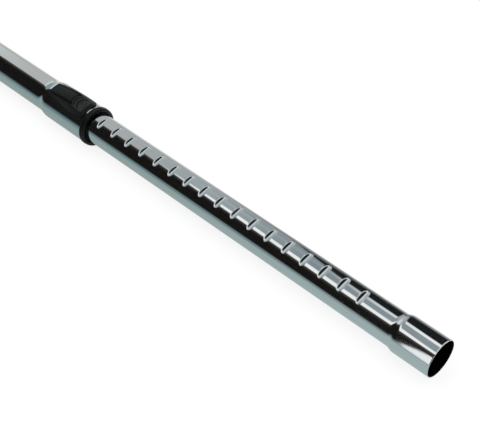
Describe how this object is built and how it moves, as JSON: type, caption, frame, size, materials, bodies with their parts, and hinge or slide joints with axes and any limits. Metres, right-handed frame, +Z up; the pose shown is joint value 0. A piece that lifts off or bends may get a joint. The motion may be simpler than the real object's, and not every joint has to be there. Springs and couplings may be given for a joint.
{
  "type": "telescopic vacuum wand",
  "caption": "Telescopic chromed vacuum wand with a black thumb slider that frees a notched inner tube, a black collar ring, a handle socket and a widened tool end.",
  "frame": {"origin": "centre of the handle socket's mouth, on the tube axis", "axes": "+X along the tube towards the tool end, +Z up through the thumb slider, +Y to the left seen from the handle end"},
  "size_m": [0.955, 0.042, 0.0477],
  "materials": {
    "chrome_steel": "polished chrome plate",
    "black_abs": "fine moulded satin",
    "black_pom": "smooth moulded",
    "grey_felt": "pressed felt",
    "seal_rubber": "soft rubber",
    "bright_steel": "ground steel"
  },
  "bodies": {
    "outer": {"outer_tube": "chrome_steel", "guide_sleeve": "black_pom", "end_collar": "black_pom", "wiper_ring": "grey_felt", "spring_bracket": "bright_steel", "spring_left": "bright_steel", "spring_right": "bright_steel"},
    "inner": {"inner_tube": "chrome_steel", "stop_bush": "black_pom", "lip_seal": "seal_rubber"},
    "slider": {"thumb_slider": "black_abs"},
    "roller": {"lock_roller": "bright_steel"}
  },
  "joints": [
    {"name": "tube_slide", "type": "slide", "parent": "outer", "child": "inner", "axis": [1, 0, 0], "range_m": [-0.378, 0]},
    {"name": "thumb_slide", "type": "slide", "parent": "outer", "child": "slider", "axis": [-1, 0, 0], "range_m": [0, 0.007], "stiffness_N_per_m": 600, "springref_m": -0.008, "deforming": ["spring_left", "spring_right"]},
    {"name": "roller_lift", "type": "slide", "parent": "outer", "child": "roller", "axis": [0, 0, 1], "range_m": [0, 0.0021]}
  ],
  "couplings": [
    {"joint": "roller_lift", "follows": "thumb_slide", "ratio": 0.3}
  ]
}
